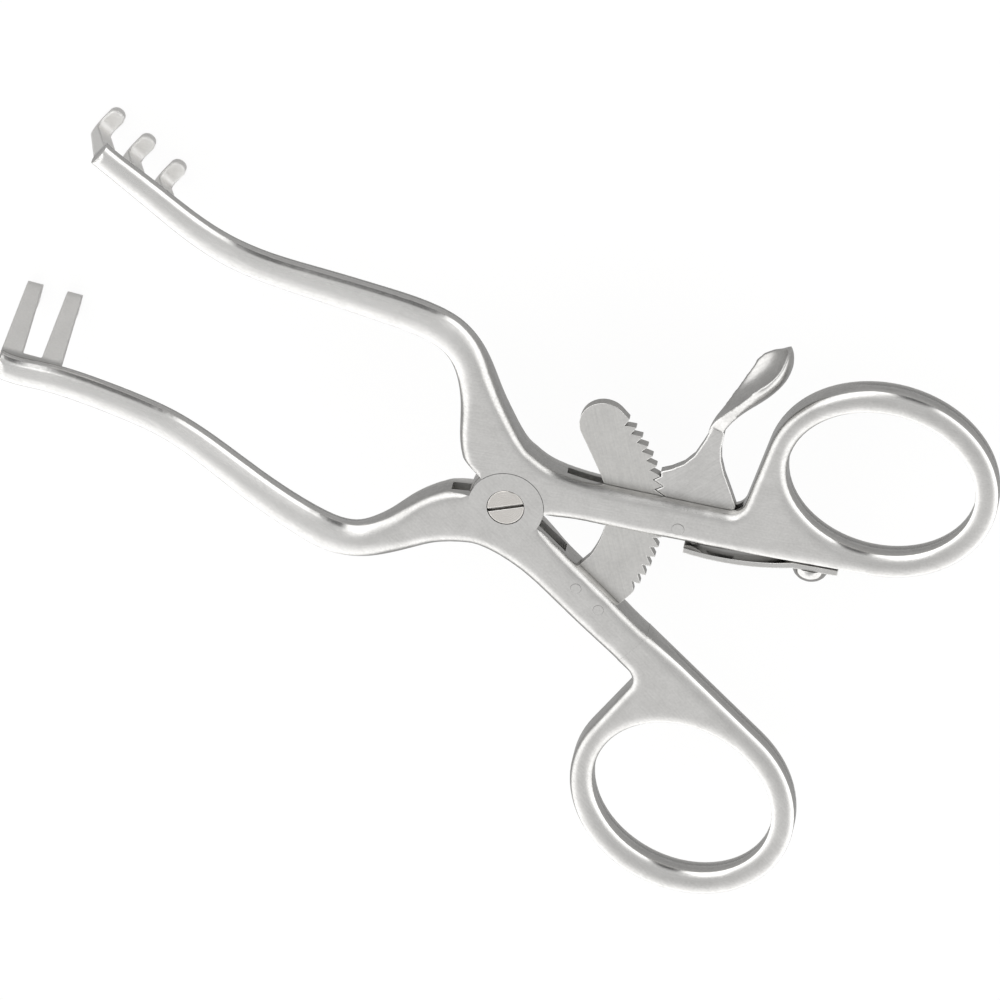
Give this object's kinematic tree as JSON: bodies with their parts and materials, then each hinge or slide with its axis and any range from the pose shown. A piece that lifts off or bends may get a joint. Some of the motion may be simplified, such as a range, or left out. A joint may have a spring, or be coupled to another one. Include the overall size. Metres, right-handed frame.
{
  "type": "self retaining retractor",
  "caption": "Hand held surgical retractor: two ring handled levers with blunt prongs on a forked joint, held open by a curved ratchet bar and a sprung release lever.",
  "frame": {"origin": "on the joint's axis, at the under face of the joint", "axes": "+X towards the finger rings, +Y towards the side with three prongs, +Z out of the front face; the prongs point to -Z"},
  "size_m": [0.1067, 0.0687, 0.0175],
  "materials": {
    "lever_steel": "forged stainless steel, bead polished to a satin",
    "screw_steel": "turned stainless steel, ground flush",
    "ratchet_steel": "milled stainless steel, satin",
    "pin_steel": "stainless steel pin, peened and ground flush",
    "release_steel": "stainless steel, polished to a soft sheen",
    "spring_steel": "rolled stainless spring strip"
  },
  "bodies": {
    "three_prong_side": {"three_prong_lever": "lever_steel", "release_lever_pin": "pin_steel", "leaf_spring": "spring_steel", "spring_screw": "screw_steel"},
    "two_prong_side": {"two_prong_lever": "lever_steel", "pivot_screw": "screw_steel", "ratchet_bar": "ratchet_steel", "ratchet_pins": "pin_steel"},
    "release": {"release_lever": "release_steel"}
  },
  "joints": [
    {"name": "jaw_hinge", "type": "hinge", "parent": "three_prong_side", "child": "two_prong_side", "pos_m": [0, 0, 0.0021], "axis": [0, 0, 1], "range_deg": [-25.2, 25.2]},
    {"name": "release_pivot", "type": "hinge", "parent": "three_prong_side", "child": "release", "pos_m": [0.0178, 0.0071, 0.0021], "axis": [0, 0, -1], "range_deg": [0, 8.5], "stiffness_Nm_per_rad": 0.05, "springref_deg": -20.05, "deforming": ["leaf_spring"]}
  ]
}
